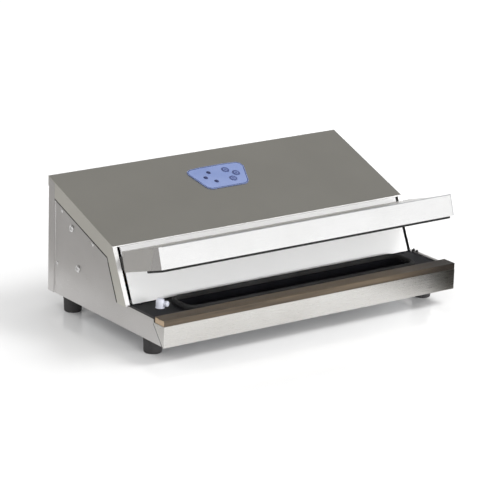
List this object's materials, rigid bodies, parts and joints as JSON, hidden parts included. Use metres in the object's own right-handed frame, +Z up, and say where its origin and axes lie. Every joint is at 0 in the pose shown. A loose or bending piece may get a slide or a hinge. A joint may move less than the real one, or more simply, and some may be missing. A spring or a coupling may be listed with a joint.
{
  "type": "vacuum sealer",
  "caption": "Countertop external vacuum sealer: folded steel wedge case, sprung full-width hinged lid over a seal bar and gasketed tray, sloping top with a small button label, rubber feet.",
  "frame": {"origin": "on the table under the centre of the machine's bounding box", "axes": "+Z up, +X to the machine's right as the user faces its front, -Y towards the user (the seal bar side)"},
  "size_m": [0.4524, 0.2652, 0.1699],
  "materials": {
    "hood_steel": "brushed stainless, warm grey",
    "case_steel": "satin stainless",
    "bright_steel": "bright polished stainless",
    "zinc_steel": "zinc plated",
    "phenolic": "paper phenolic, tan",
    "glass_cloth": "brown coated glass cloth, satin",
    "nichrome": "heating alloy",
    "black_plastic": "satin black",
    "black_foam": "matt black cellular rubber",
    "silicone": "matt black silicone",
    "white_plastic": "white, satin",
    "rubber": "matt black rubber",
    "blue_film": "printed blue polyester film",
    "dark_lens": "dark tinted plastic",
    "green_board": "green solder mask",
    "core_steel": "laminated silicon steel",
    "copper": "enamelled copper winding",
    "grey_alloy": "cast aluminium",
    "clear_hose": "milky silicone hose"
  },
  "bodies": {
    "housing": {"base_gasket": "black_foam", "base_plate": "zinc_steel", "control_board": "green_board", "control_label": "blue_film", "foot_front_left": "rubber", "foot_front_right": "rubber", "foot_rear_left": "rubber", "foot_rear_right": "rubber", "front_panel": "case_steel", "heating_ribbon": "nichrome", "hood_cover": "hood_steel", "hose_nozzle": "white_plastic", "lid_spring_left": "bright_steel", "lid_spring_right": "bright_steel", "lid_switch": "black_plastic", "lid_switch_bracket": "zinc_steel", "main_switch": "black_plastic", "nozzle_hose": "clear_hose", "pivot_bolt_left": "bright_steel", "pivot_bolt_right": "bright_steel", "pivot_nut_left": "zinc_steel", "pivot_nut_right": "zinc_steel", "pivot_spacer_left": "zinc_steel", "pivot_spacer_right": "zinc_steel", "power_inlet": "black_plastic", "pump_bracket": "zinc_steel", "pump_head": "grey_alloy", "pump_motor": "zinc_steel", "rear_panel": "case_steel", "release_valve": "black_plastic", "seal_bar_cover": "glass_cloth", "seal_bar_holder": "phenolic", "side_panel_left": "case_steel", "side_panel_right": "case_steel", "slanted_panel": "bright_steel", "spring_bolt_left": "bright_steel", "spring_bolt_right": "bright_steel", "status_led_1": "dark_lens", "status_led_2": "dark_lens", "status_led_3": "dark_lens", "suction_fitting": "white_plastic", "suction_hose": "clear_hose", "transformer_coil": "copper", "transformer_core": "core_steel", "vacuum_tray": "black_plastic"},
    "lid": {"lid_cover": "case_steel", "lid_front": "bright_steel", "lid_carrier": "zinc_steel", "lid_gasket": "black_foam", "pressure_strip": "silicone", "lid_arm_left": "zinc_steel", "lid_arm_right": "zinc_steel"},
    "button_1_body": {"button_1": "blue_film"},
    "button_2_body": {"button_2": "blue_film"},
    "button_3_body": {"button_3": "blue_film"},
    "rocker": {"main_switch_rocker": "dark_lens"},
    "fan": {"motor_fan": "black_plastic"},
    "plunger": {"lid_switch_plunger": "white_plastic"}
  },
  "joints": [
    {"name": "lid_hinge", "type": "hinge", "parent": "housing", "child": "lid", "pos_m": [0, 0.0606, 0.0662], "axis": [1, 0, 0], "range_deg": [0, 17.6], "stiffness_Nm_per_rad": 4, "springref_deg": -51.57, "deforming": ["lid_spring_left", "lid_spring_right"]},
    {"name": "button_1_press", "type": "slide", "parent": "housing", "child": "button_1_body", "axis": [0, 0.3394, -0.9406], "range_m": [0, 0.0005], "stiffness_N_per_m": 120, "springref_m": -0.0004},
    {"name": "button_2_press", "type": "slide", "parent": "housing", "child": "button_2_body", "axis": [0, 0.3394, -0.9406], "range_m": [0, 0.0005], "stiffness_N_per_m": 120, "springref_m": -0.0004},
    {"name": "button_3_press", "type": "slide", "parent": "housing", "child": "button_3_body", "axis": [0, 0.3394, -0.9406], "range_m": [0, 0.0005], "stiffness_N_per_m": 120, "springref_m": -0.0004},
    {"name": "main_switch_rock", "type": "hinge", "parent": "housing", "child": "rocker", "pos_m": [-0.105, 0.1249, 0.056], "axis": [-1, 0, 0], "range_deg": [0, 16]},
    {"name": "motor_fan_spin", "type": "hinge", "parent": "housing", "child": "fan", "pos_m": [0.105, 0.0694, 0.064], "axis": [1, 0, 0], "continuous": true},
    {"name": "lid_switch_press", "type": "slide", "parent": "housing", "child": "plunger", "axis": [0, 0, -1], "range_m": [0, 0.0025], "stiffness_N_per_m": 60, "springref_m": -0.001}
  ]
}
